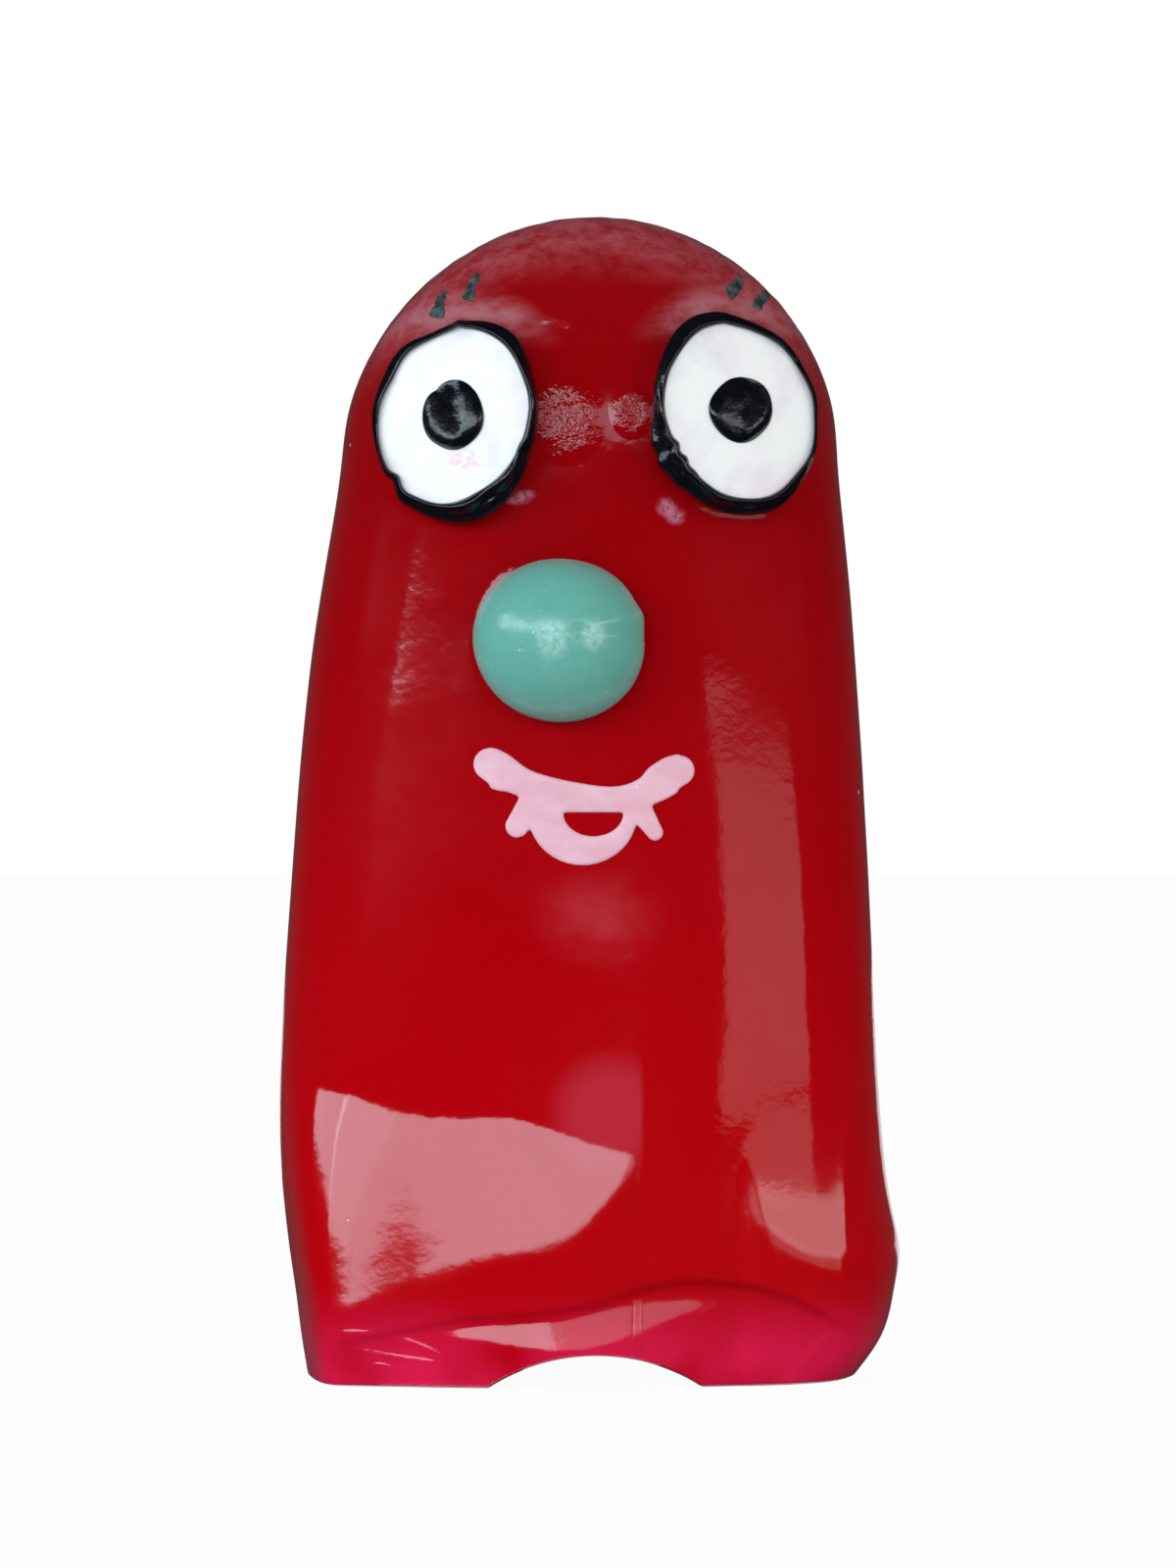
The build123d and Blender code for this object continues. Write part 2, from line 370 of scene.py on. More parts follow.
# painted highlight over each eye
BROW_HIGHLIGHT_PINK = (0.56, 0.30, 0.33, 1)
# painted highlights under the eyes
UNDER_EYE_HIGHLIGHT_PINK = (0.56, 0.22, 0.32, 1)
# painted sheen on the crown
CROWN_SHEEN_PINK = (0.55, 0.16, 0.19, 1)
DUST_PINK = (0.85, 0.45, 0.5, 1)


def vinyl_colour(n, height):
    """Deep red with painted light: lighter low down and pinker at the thin hem as if lit through the
    wall, painted highlights over and under the eyes, beside the fold and below the mouth, and a painted
    sheen on the crown.
    """
    red = n.mix(n.noise(90, 2), *DEEP_REDS)
    # painted light: lighter red low down
    red = n.mix(n.ramp(height, 0.060, 0.004), red, LIT_LOW_RED)
    # painted glow of light through the thin hem
    hem = n.times(n.ramp(height, 0.0060, 0.0004), n.ramp(n.noise(140, 2), 0.2, 0.6))
    red = n.mix(n.times(hem, 0.85), red, HEM_GLOW_PINK)
    # painted reflection beside the fold
    fold = n.times(n.around(*FOLD_REFLECTION, 1.2, 0.5), n.ramp(n.axis("X"), 0.0031, 0.0027))
    red = n.mix(n.times(fold, 0.75), red, FOLD_REFLECTION_PINK)
    # painted highlight below the mouth
    chin = n.times(n.around(*CHIN_HIGHLIGHT, 1.4, 0.1), n.ramp(n.noise(420, 3), 0.3, 0.65, 0.1, 0.5))
    red = n.mix(chin, red, CHIN_HIGHLIGHT_PINK)
    for seat in eyes.values():
        centre = tuple(seat.centre * MM)
        # painted highlight over the eye, in streaks
        brow_highlight = n.around(centre, BROW_HIGHLIGHT_REACH, 1.32, 1.0)
        brow_highlight = n.times(brow_highlight, n.ramp(height, centre[2] + 0.0037, centre[2] + 0.0058))
        streaks = n.ramp(n.noise(260, 4, 0.6, (1.0, 1.0, 2.2)), 0.35, 0.65, 0.05, 0.48)
        red = n.mix(n.times(brow_highlight, streaks), red, BROW_HIGHLIGHT_PINK)
    fine = n.noise(2600, 3, 0.6)
    # painted highlights under the eyes
    for centre, radii in UNDER_EYE_HIGHLIGHTS:
        painted_highlight = n.times(n.around(centre, radii, 1.3, 0.3), n.ramp(fine, 0.36, 0.6, 0.15, 0.85))
        red = n.mix(painted_highlight, red, UNDER_EYE_HIGHLIGHT_PINK)
    # painted sheen on the crown, away from its front
    crown_sheen = n.times(n.ramp(height, 0.055, 0.061), n.ramp(n.axis("Y"), -0.0078, -0.0045))
    crown_sheen = n.times(crown_sheen, n.ramp(n.noise(800, 4, 0.7), 0.3, 0.7, 0.05, 0.4))
    return n.mix(crown_sheen, red, CROWN_SHEEN_PINK)


def vinyl():
    """Glossy red vinyl, dusty, worn between the eyes and pebbled at the crown."""
    n = Nodes("red_vinyl")
    n.place = n.add("ShaderNodeAttribute", attribute_name=REST_PLACE).outputs["Vector"]
    height = n.axis("Z")
    red = vinyl_colour(n, height)
    crown = n.ramp(height, 0.0575, 0.064)
    dust = n.math("MAXIMUM", n.specks(520, 0.085, 0.05), n.specks(240, 0.055, 0.03))
    worn = n.math("MAXIMUM", *[n.around(centre, radii, 1.4, 0.7) for centre, radii in WORN])
    dull = n.math("MULTIPLY_ADD", dust, 0.4, n.times(crown, 0.1))
    n.set(
        Base_Color=n.mix(n.times(dust, 0.75), red, DUST_PINK),
        Roughness=n.math("ADD", n.uneven(60, 4, 0.06, 0.13), dull),
        Subsurface_Weight=0.12,
        Subsurface_Radius=(0.0020, 0.0003, 0.0003),
        Subsurface_Scale=1.0,
        Sheen_Weight=0.1,
        Sheen_Roughness=0.3,
        Sheen_Tint=(1.0, 0.75, 0.8, 1),
    )
    pebbles = n.times(n.noise(900, 3, 0.6), n.math("MULTIPLY_ADD", crown, 0.9, 0.06))
    relief = n.bump(pebbles, 0.00025, 0.8)
    relief = n.bump(n.noise(160, 2), 0.00012, 0.25, relief)
    relief = n.bump(n.times(worn, n.noise(900, 4, 0.65)), 0.0002, 0.9, relief)
    n.set(Normal=n.bump(dust, 0.00006, 0.6, relief))
    return n.material


# Colours of the paints and of the nose; of a pair, the surface wanders between the two
BLACKS = (0.001, 0.001, 0.002, 1), (0.006, 0.006, 0.009, 1)
WHITE = (0.87, 0.845, 0.805, 1)
THIN_WHITES = (0.72, 0.68, 0.75, 1), (0.84, 0.70, 0.73, 1)
SMEAR_PINK = (0.80, 0.50, 0.57, 1)
GREENS = (0.110, 0.36, 0.29, 1), (0.150, 0.43, 0.355, 1)
SCUFF_GREEN = (0.30, 0.55, 0.47, 1)
# painted highlight on the nose
HIGHLIGHT_GREEN = (0.42, 0.68, 0.60, 1)
DUST_GREEN = (0.55, 0.78, 0.70, 1)
PINKS = (0.76, 0.38, 0.45, 1), (0.81, 0.475, 0.54, 1)
PALE_DUST = (0.95, 0.82, 0.86, 1)
GREYS = (0.020, 0.030, 0.032, 1), (0.085, 0.11, 0.11, 1)
SMEAR = ((-0.0070, -0.0125, 0.0518), (0.0012, 0.01, 0.0007))  # red wiped into the left white
NOSE_HIGHLIGHTS = (  # painted highlights on the nose, as those under the eyes
    ((-0.0021, -0.0160, 0.0418), (0.0010, 0.004, 0.0012)),
    ((0.0002, -0.0162, 0.0420), (0.0007, 0.004, 0.0010)),
)


def black_paint():
    """Thick glossy black paint with brush lumps and a dusty sheen."""
    n = Nodes("black_paint")
    n.set(Specular_IOR_Level=0.45)
    return n.finish(n.mix(n.noise(900), *BLACKS), (1100, 4, 0.12, 0.3), (1500, 0.0001, 0.5))


def white_paint():
    """Uneven white paint, faintly violet and pink where the red shows through."""
    n = Nodes("white_paint")
    thin = n.ramp(n.noise(330, 3, 0.6), 0.45, 0.72, 0.0, 0.8)
    tint = n.mix(n.ramp(n.noise(240, 2), 0.4, 0.65), *THIN_WHITES)
    white = n.mix(thin, WHITE, tint)
    smear = n.times(n.around(*SMEAR, 1.3, 0.3), n.ramp(n.noise(2200), 0.42, 0.62, 0.05, 0.8))
    return n.finish(n.mix(smear, white, SMEAR_PINK), (700, 3, 0.32, 0.5), (600, 0.00012, 0.4))


def green_vinyl():
    """Satin green skin of the nose with scuffs, pale specks and painted highlights."""
    n = Nodes("nose_green")
    scuffs = n.ramp(n.noise(700, 5, 0.7, (1.0, 1.0, 2.6)), 0.56, 0.74, 0.0, 0.35)
    green = n.mix(scuffs, n.mix(n.noise(300), *GREENS), SCUFF_GREEN)
    fine = n.noise(2600, 4, 0.65)
    # painted highlights on the nose
    for centre, radii in NOSE_HIGHLIGHTS:
        painted_highlight = n.times(n.around(centre, radii, 1.3, 0.2), n.ramp(fine, 0.34, 0.62, 0.15, 0.75))
        green = n.mix(painted_highlight, green, HIGHLIGHT_GREEN)
    green = n.mix(n.times(n.specks(1300, 0.11, 0.10), 0.5), green, DUST_GREEN)
    return n.finish(green, (800, 4, 0.17, 0.30), (1300, 0.0001, 0.35))


def pink_paint():
    """Satin pink paint, a little paler in streaks."""
    n = Nodes("mouth_pink")
    streaks = n.ramp(n.noise(420, 4, 0.6, (1.0, 1.0, 2.0)), 0.35, 0.75)
    pink = n.mix(n.times(n.specks(1500, 0.1, 0.05), 0.7), n.mix(streaks, *PINKS), PALE_DUST)
    return n.finish(pink, (900, 3, 0.34, 0.5), (1200, 0.00008, 0.4))


def grey_paint():
    """Thin worn grey-green paint of the lashes."""
    n = Nodes("lash_grey")
    grey = n.mix(n.ramp(n.noise(1600, 4), 0.35, 0.7), *GREYS)
    return n.finish(grey, (1500, 3, 0.4, 0.6), (2600, 0.00008, 0.5))


# Skin ----
def sleeve_levels():
    """Spline through the sleeve's levels along the length of its side, and that length."""
    rows = [(z, *shape) for z, shape in LEVELS.items()]
    half_width, front, back, _, square = LEVELS[TEMPLE]
    for degrees in DOME_ANGLES:
        rise = math.sin(math.radians(degrees)) ** (2 / DOME_ROUND)
        shrink = max(math.cos(math.radians(degrees)), 0) ** (2 / DOME_ROUND)
        sizes = (half_width * shrink, front * shrink, back * shrink)
        rows.append((TEMPLE + DOME_HEIGHT * rise, *sizes, DOME_SHIFT * rise, square))
    rows = np.array(rows)
    steps = np.hypot(np.diff(rows[:, 0]), np.diff(rows[:, 1]))
    along = np.concatenate([[0], np.cumsum(steps)])
    return spline(along, rows), along[-1]


level_at, side_length = sleeve_levels()


def sleeve_points(along, angle):
    """Points of the sleeve at a length up its side and an angle round it, in the plan's own polar."""
    along, angle = np.broadcast_arrays(along, angle)
    z, half_width, front, back, shift, square = np.moveaxis(level_at(along), -1, 0)
    across, out = np.cos(angle), np.sin(angle)
    depth = np.where(out > 0, back, front)
    half_width, depth = np.maximum(half_width, 1e-4), np.maximum(depth, 1e-4)
    radius = (np.abs(across / half_width) ** square + np.abs(out / depth) ** square) ** (-1 / square)
    return np.stack([shift + radius * across, radius * out, z], -1)


def grid_normals(points):
    """Outward normals of a grid of points that is closed round its second axis."""
    up = np.gradient(points, axis=0)
    round_ = np.roll(points, -1, 1) - np.roll(points, 1, 1)
    normals = np.cross(round_, up)
    return normals / np.maximum(np.linalg.norm(normals, axis=-1, keepdims=True), 1e-9)


class Seat:
    """A place on the face with its own axes: right, up and out."""

    def __init__(self, centre, yaw, pitch):
        turn, tip = math.radians(yaw), math.radians(pitch)
        self.centre = np.array(centre)
        self.out = np.array(
            (math.sin(turn) * math.cos(tip), -math.cos(turn) * math.cos(tip), math.sin(tip))
        )
        self.right = np.array((math.cos(turn), math.sin(turn), 0.0))
        self.up = np.cross(self.out, self.right)

    def local(self, points):
        d = points - self.centre
        return d @ self.right, d @ self.up, d @ self.out

    def points(self, right, up, out):
        right, up, out = (np.asarray(v, float)[..., None] for v in (right, up, out))
        return self.centre + right * self.right + up * self.up + out * self.out

    def facing(self, x, z, out):
        """Points out above the seat that stand x to the right and z over its centre from the front."""
        up = (z - out * self.out[2]) / self.up[2]
        right = (x - up * self.up[0] - out * self.out[0]) / self.right[0]
        return self.points(right, up, out)


def middle(node):
    """Middle of a solid's box."""
    low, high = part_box(node)
    return np.array((low + high) / 2) / MM


EYE_CENTRE_RAISE = 1.5  # middle of the white's solid above the skin, along the eye's axis
NOSE_CENTRE_RAISE = 3.1  # and that of the nose's solid
SIDES = {"left": -1, "right": 1}
EYE_SHIFTS = {"left": (-0.16, -0.28), "right": (0.1, -0.02)}  # sideways and up, from the solids
eyes = {}
for side, way in SIDES.items():
    seat = Seat(middle(side + "_eye_white"), way * EYE_YAW, EYE_PITCH)
    seat.centre = seat.centre - EYE_CENTRE_RAISE * seat.out
    seat.centre[[0, 2]] += EYE_SHIFTS[side]
    eyes[side] = seat
nose = Seat(middle("nose"), 0.0, NOSE_PITCH)
nose.centre = nose.centre - NOSE_CENTRE_RAISE * nose.out


# Raised ground under an eye and under the nose: half sizes of its edge in the seat's own plane, height
# of the edge and of the boss inside it, angle of the cone from the seat's axis, and how round it sets off
EYE_FLARE = ((4.45, 4.85), 0.1, 0.6, 34.0, 1.4)
NOSE_FLARE = ((4.6, 4.6), 0.12, 0.12, 20.0, 0.35)


def flare(points, seat, radii, top, boss, degrees, round_over):
    """Lifts the skin towards a raised disc: a cone up to its edge, and the boss inside it."""
    right, up, out = seat.local(points)
    ratio = np.sqrt((right / radii[0]) ** 2 + (up / radii[1]) ** 2)
    reach = (ratio - 1) * np.sqrt(right**2 + up**2) / np.maximum(ratio, 1e-6)
    cone = top - reach / math.tan(math.radians(degrees))
    inner = top + np.clip(-reach * 4, 0, boss - top)
    wanted = np.where(reach > 0, cone, inner)
    near = (ratio < 1.9) & (out > -6)  # not on the back of the sleeve
    lift = np.where(near, larger(out, wanted, round_over) - out, 0) * smooth(1.85, 1.35, ratio)
    return points + lift[..., None] * seat.out


# Two panels of the belly and a lens of the folded hem under them lean back, each between an upper and
# a lower line. Then come the slope and how round the upper and the lower edge are
LEFT_PANEL = (
    curve([(-17, 17.4), (-13, 16.2), (-8, 15.2), (-4.5, 15.1), (-1, 14.0), (3.2, 12.9)]),
    curve([(-17, 2.6), (-14.5, 3.4), (-8.6, 5.8), (-3.9, 7.3), (0.1, 9.1), (3.2, 12.9)]),
    0.14, 0.25, 0.5,
)
RIGHT_PANEL = (
    curve([(8.2, 9.9), (9, 11.6), (10.5, 12.6), (12, 12.8), (15, 12.6)]),
    curve([(8.2, 9.9), (9, 9.5), (10.7, 8.4), (13.5, 5.8), (15, 4.6)]),
    0.14, 1.6, 0.4,
)
LENS = (
    curve([(-10.5, 2.9), (-7, 3.7), (-2, 3.95), (1.3, 4.7), (5, 5.1), (10, 4.75)]),
    curve([(-10.5, 2.9), (-7.5, 2.6), (-4, 2.2), (0, 2.1), (4, 3.3), (7, 4.3), (10, 4.75)]),
    0.16, 0.2, 0.2,
)
# The line where the wall folds in over the hem, and how deep at the left and at the right
tuck_line = curve(
    [(-17, 2.2), (-13, 2.9), (-10, 3.5), (-6, 4.2), (-2, 4.5), (1.5, 5.3), (4, 6.0), (7.4, 6.05),
     (10.7, 5.4), (13.5, 4.0), (15, 3.2)]
)
TUCK_DEPTHS = (0.32, 0.58)
# A soft upright fold in the belly: where it starts, its crest and its end, and its slope up to the crest
FOLD_START, FOLD_CREST, FOLD_END = -7.0, 3.1, 13.0
FOLD_SLOPE = 0.08
FOLD_FADE = (34, 13)  # it is flat over the first height and full under the second
# Soft raised lines: both ends as (x, z), size, width and bow
RIDGES = (
    (((-14.3, 3.0), (-8.0, 1.6)), 0.06, 0.16, 0.5),  # small loops at the hem's left corner
    (((-14.3, 2.4), (-8.2, 1.4)), 0.05, 0.14, -0.15),
    (((-12.2, 1.2), (-10.6, 0.6)), 0.05, 0.14, 0.25),
    (((11.2, 0.0), (13.5, 2.8)), 0.13, 0.26, 0.1),  # pleats at its right
    (((6.3, 2.0), (7.5, 0.0)), 0.06, 0.15, 0.1),
    (((14.7, 17.5), (14.3, 3.0)), 0.10, 0.35, -0.2),  # edge of the right side
    (((-7.2, 60.9), (-0.4, 59.7)), 0.3, 0.8, 0.4),  # brows
    (((8.6, 61.4), (2.4, 60.0)), 0.3, 0.8, -0.4),
)


def panel(x, z, top, foot, slope, top_round, foot_round):
    """How far a panel that leans back stands out: nothing over its top, all of it below its foot."""
    rise = np.maximum(top(x) - foot(x), 0)
    down = soft_positive(top(x) - z, top_round)
    return slope * (down - soft_positive(down - rise, foot_round)) * smooth(0, 1.2, rise)


def ridge(x, z, ends, size, width, bow):
    """A soft raised line from one (x, z) to another, bowed sideways by bow at its middle."""
    (x0, z0), (x1, z1) = ends
    length = math.hypot(x1 - x0, z1 - z0)
    along = ((x - x0) * (x1 - x0) + (z - z0) * (z1 - z0)) / length
    across = (-(x - x0) * (z1 - z0) + (z - z0) * (x1 - x0)) / length
    t = along / length
    across = across - 4 * bow * t * (1 - t)
    ends_fade = smooth(-0.12, 0.15, t) * smooth(1.12, 0.85, t)
    return size * np.exp(-((across / width) ** 2)) * ends_fade


def front_relief(points, normals):
    """How far the skin's front stands out of the plain sleeve, towards the viewer."""
    x, z = points[..., 0], points[..., 2]
    facing = smooth(0.05, 0.6, -normals[..., 1])  # 0 on the sides and the back
    corner = 1 + 1.5 * smooth(-10, -17.5, x)  # the left panel leans more towards its corner
    relief = corner * panel(x, z, *LEFT_PANEL) + panel(x, z, *RIGHT_PANEL)
    below = tuck_line(x) - z
    depth = TUCK_DEPTHS[0] + (TUCK_DEPTHS[1] - TUCK_DEPTHS[0]) * smooth(-3, 5, x)
    relief = relief - depth * smooth(-0.08, 0.6, below) * smooth(15.5, 12.5, np.abs(x))
    fall = FOLD_SLOPE * (FOLD_CREST - FOLD_START) / (FOLD_END - FOLD_CREST)
    fold = FOLD_SLOPE * soft_positive(x - FOLD_START, 1.0) + fall * soft_positive(x - FOLD_END, 1.5)
    fold = fold - (FOLD_SLOPE + fall) * soft_positive(x - FOLD_CREST, 0.7)
    relief = relief + fold * smooth(*FOLD_FADE, z) + panel(x, z, *LENS)
    for ends, size, width, bow in RIDGES:
        relief = relief + ridge(x, z, ends, size, width, bow)
    return relief * facing


def waviness(points):
    """Slow unevenness of the soft wall, and the lumpy skin of the crown."""
    crown = smooth(56, 63, points[..., 2])
    slow = 0.025 * lumps(points, 18.0, 3) + 0.006 * lumps(points, 6.0, 4)
    return slow + 0.022 * crown * lumps(points, 1.3, 5)


COLUMNS = 360
INSIDE_ROWS = 22
# Places of the outside's rows along the sleeve's side: hem, belly, chest and head
outside_rows = np.concatenate([
    np.linspace(0, 8, 70, endpoint=False),
    np.linspace(8, 20, 42, endpoint=False),
    np.linspace(20, 47, 58, endpoint=False),
    np.linspace(47, side_length, 72),
])
turn = np.linspace(0, 2 * math.pi, COLUMNS, endpoint=False)
column_angles = -math.pi / 2 + turn - 0.33 * np.sin(turn)  # closer together at the front


def lift_to_notch(points):
    """Moves the hem's points up to the notches, front and back, and evens out the rows above."""
    x, z = points[..., 0], points[..., 2]
    edge = NOTCH_HEIGHT - NOTCH_RADIUS + np.sqrt(np.maximum(NOTCH_RADIUS**2 - (x - NOTCH_X) ** 2, 0))
    lift = np.maximum(edge, 0) * np.clip(1 - z / NOTCH_REACH, 0, 1)
    return points + lift[..., None] * np.array((0, 0, 1.0))


def outside_points():
    """The outside of the skin as rows of points, hem first."""
    plain = lift_to_notch(sleeve_points(outside_rows[:, None], column_angles[None, :]))
    normals = grid_normals(plain)
    points = plain + waviness(plain)[..., None] * normals
    points[..., 1] -= front_relief(plain, normals)
    for seat in eyes.values():
        points = flare(points, seat, *EYE_FLARE)
    points = flare(points, nose, *NOSE_FLARE)
    points[0, :, 2] = np.maximum(plain[0, :, 2], 0)
    return points


def inside_points():
    """The inside of the skin, hem first, on the same columns."""
    along = np.linspace(0, side_length, INSIDE_ROWS)
    points = lift_to_notch(sleeve_points(along[:, None], column_angles[None, :]))
    normals = grid_normals(points)
    inner = points - WALL * normals
    inner[0, :, 2] = points[0, :, 2]
    return inner


def make_skin(material):
    """One closed skin: outside, rounded hem and inside, meeting in a cap at the crown."""
    outside, inside = outside_points(), inside_points()
    hem = []
    for degrees in (45, 90, 135):
        share = (1 - math.cos(math.radians(degrees))) / 2
        hem.append(outside[0] * (1 - share) + inside[0] * share)
    outside[0, :, 2] += HEM_ROUND
    inside[0, :, 2] += HEM_ROUND
    rings = [*inside[::-1], *hem[::-1], *outside]
    rows = len(rings)
    points = np.concatenate(rings)
    faces = grid_faces(rows, COLUMNS)
    faces.append(tuple(range(COLUMNS))[::-1])
    faces.append(tuple((rows - 1) * COLUMNS + j for j in range(COLUMNS)))
    skin = add_mesh("vinyl_skin", points, faces, material, "skin")
    places = skin.data.attributes.new(REST_PLACE, "FLOAT_VECTOR", "POINT")
    places.data.foreach_set("vector", (points * MM).astype(np.float32).ravel())
    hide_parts("skirt_skin", "head_skin")
    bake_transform(skin)
    return skin


def surface_finder(piece):
    """A function that gives where a ray along +Y first meets the piece, for arrays of x and z."""
    mesh = piece.data
    tree = BVHTree.FromPolygons([v.co for v in mesh.vertices], [p.vertices for p in mesh.polygons])

    def find(x, z):
        points, normals = [], []
        for px, pz in zip(np.ravel(x), np.ravel(z)):
            hit, normal, _, _ = tree.ray_cast(Vector((px * MM, -0.05, pz * MM)), Vector((0, 1, 0)))
            points.append(hit)
            normals.append(normal)
        return np.array(points) / MM, np.array(normals)

    return find


# Painted eyes ----
def disc(name, place, radius, height, base, rings, material, slot, columns=160):
    """A closed button: radius(angle) is its outline and height(share, angle) its top over the seat."""
    angle = np.linspace(0, 2 * math.pi, columns, endpoint=False)
    points = [place(0, 0, height(np.zeros(1), np.zeros(1))[0])]
    edge_x, edge_y = radius(angle)
    for share in np.sin(np.linspace(0, math.pi / 2, rings + 1))[1:]:
        out = height(np.full(columns, share), angle)
        points.extend(place(share * edge_x, share * edge_y, out))
    points.extend(place(edge_x, edge_y, np.full(columns, base)))
    points.append(place(0, 0, base))
    faces = [(0, 1 + j, 1 + (j + 1) % columns) for j in range(columns)]
    faces += [tuple(1 + v for v in quad[::-1]) for quad in grid_faces(rings + 1, columns)]
    start, last = 1 + rings * columns, len(points) - 1
    faces += [(last, start + (j + 1) % columns, start + j) for j in range(columns)]
    return add_mesh(name, points, faces, material, slot, "head")


EYE_LONG, EYE_SHORT = 4.95, 4.1  # half lengths of the white from the front
EYE_TILT = 20.0  # its long axis leans this much towards the nose at its top
WHITE_LAP = 0.16  # how far it goes on under the rim
WHITE_EDGE, WHITE_DOME = 1.4, 0.3  # height of its edge over the seat, and of its middle over its edge
WHITE_WAVES = (0.0, 0.02, 0.025, 0.02, 0.03, 0.02, 0.02, 0.015, 0.015)  # sizes of its edge's waves
PUPIL_WAVES = (0.015, 0.015, 0.01, 0.008, 0.006)
RIM_WAVES = (0, 0, 0, 0.03, 0.04, 0.05, 0.05, 0.05, 0.05, 0.05, 0.04, 0.04)
PUPIL_BASE = 1.62  # over the seat
# Where the black laps over a white (less than 0) or leaves more of it: degrees, size, width
EDGE_BUMPS = {
    "left": ((-47, -0.26, 5.0), (-58, 0.08, 5.0), (93, 0.12, 3.0), (205, -0.08, 6.0)),
    "right": ((208, -0.22, 5.0), (221, -0.26, 5.5), (233, -0.1, 5.0), (100, 0.06, 5.0)),
}


def white_edge(side, angle):
    """Distance from an eye's centre to the edge of its white, from the front; angle 0 is outwards."""
    lean = angle - math.radians(90 + EYE_TILT)
    egg = EYE_LONG * EYE_SHORT / np.hypot(EYE_SHORT * np.cos(lean), EYE_LONG * np.sin(lean))
    edge = egg + wobble(angle, WHITE_WAVES, 21 + SIDES[side])
    for degrees, size, width in EDGE_BUMPS[side]:
        away = (np.degrees(angle) - degrees + 180) % 360 - 180
        edge = edge + size * np.exp(-((away / width) ** 2))
    return edge


# Width of the black rim from the front, by degrees from outwards over the top
RIM_WIDTHS = {
    "left": [(15, 0.47), (35, 0.6), (60, 0.5), (85, 0.42), (105, 0.62), (124, 0.86), (142, 0.74),
             (162, 0.58), (187, 0.64), (210, 0.82), (235, 1.25), (256, 1.42), (275, 1.0), (300, 0.7),
             (330, 0.3), (350, 0.36)],
    "right": [(10, 0.3), (40, 0.37), (62, 0.48), (85, 0.58), (112, 0.9), (128, 1.0), (148, 0.78),
              (168, 0.68), (184, 0.76), (200, 1.25), (219, 1.46), (235, 1.2), (270, 0.96),
              (300, 0.72), (327, 0.36), (349, 0.24)],
}
RIM_COLUMNS = 360
FRONT_ANGLES = {"left": lambda angle: math.pi - angle, "right": lambda angle: angle}


def rim_width(side, angle):
    """Width of a rim at an angle from outwards, through its widths in RIM_WIDTHS."""
    around = [(d + turn, width) for turn in (-360, 0, 360) for d, width in RIM_WIDTHS[side]]
    return curve(around)(np.degrees(angle) % 360)


def make_white(side, seat, material):
    """Domed white of an eye, its paint a little uneven."""
    front = FRONT_ANGLES[side]

    def outline(angle):
        reach = white_edge(side, front(angle)) + WHITE_LAP
        return reach * np.cos(angle), reach * np.sin(angle)

    def height(share, angle):
        uneven = 0.02 * np.sin(3 * angle + 1.0) * share**2 + 0.015 * np.sin(7 * angle) * share**3
        return WHITE_EDGE + WHITE_DOME * (1 - share**2) + uneven

    white = disc(side + "_white_of_eye", seat.facing, outline, height, 0.5, 26, material, "eye_white")
    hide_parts(side + "_eye_white")


# Black bead of each pupil from the front: place and half size; then, as shares of the half size, from
# where to where its face is level and how far up that is highest; and a dent in its outline
PUPILS = {
    "left": ((0.0, 0.05), (1.70, 1.98), (0.25, 0.95), -0.25, 0.05),
    "right": ((0.08, 0.12), (1.77, 1.84), (-0.75, 0.1), -0.5, 0.0),
}


def make_pupil(side, seat, material):
    """Black bead of thick paint, its edge uneven, level only over a part of its face."""
    (x0, z0), half, (low, high), crest_up, dent = PUPILS[side]

    def outline(angle):
        grow = 1 + wobble(angle, PUPIL_WAVES, 33 + SIDES[side])
        grow = grow - dent * np.exp(-(((angle - math.radians(128)) / 0.17) ** 2))
        return half[0] * grow * np.cos(angle), half[1] * grow * np.sin(angle)

    def height(share, angle):
        x, y = share * np.cos(angle), share * np.sin(angle)
        level = smooth(low - 0.3, low + 0.2, x) * smooth(high + 0.3, high - 0.2, x)
        tipped = 0.34 - 0.42 * y
        crest = 0.42 - 0.16 * (y - crest_up) ** 2
        return 0.1 + (1 - share**6) * (tipped + level * (crest - tipped))

    def place(x, z, out):
        return seat.facing(x + x0, z + z0, PUPIL_BASE + out)

    pupil = disc(side + "_pupil_bead", place, outline, height, -0.35, 30, material, "eye_black")
    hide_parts(side + "_pupil")


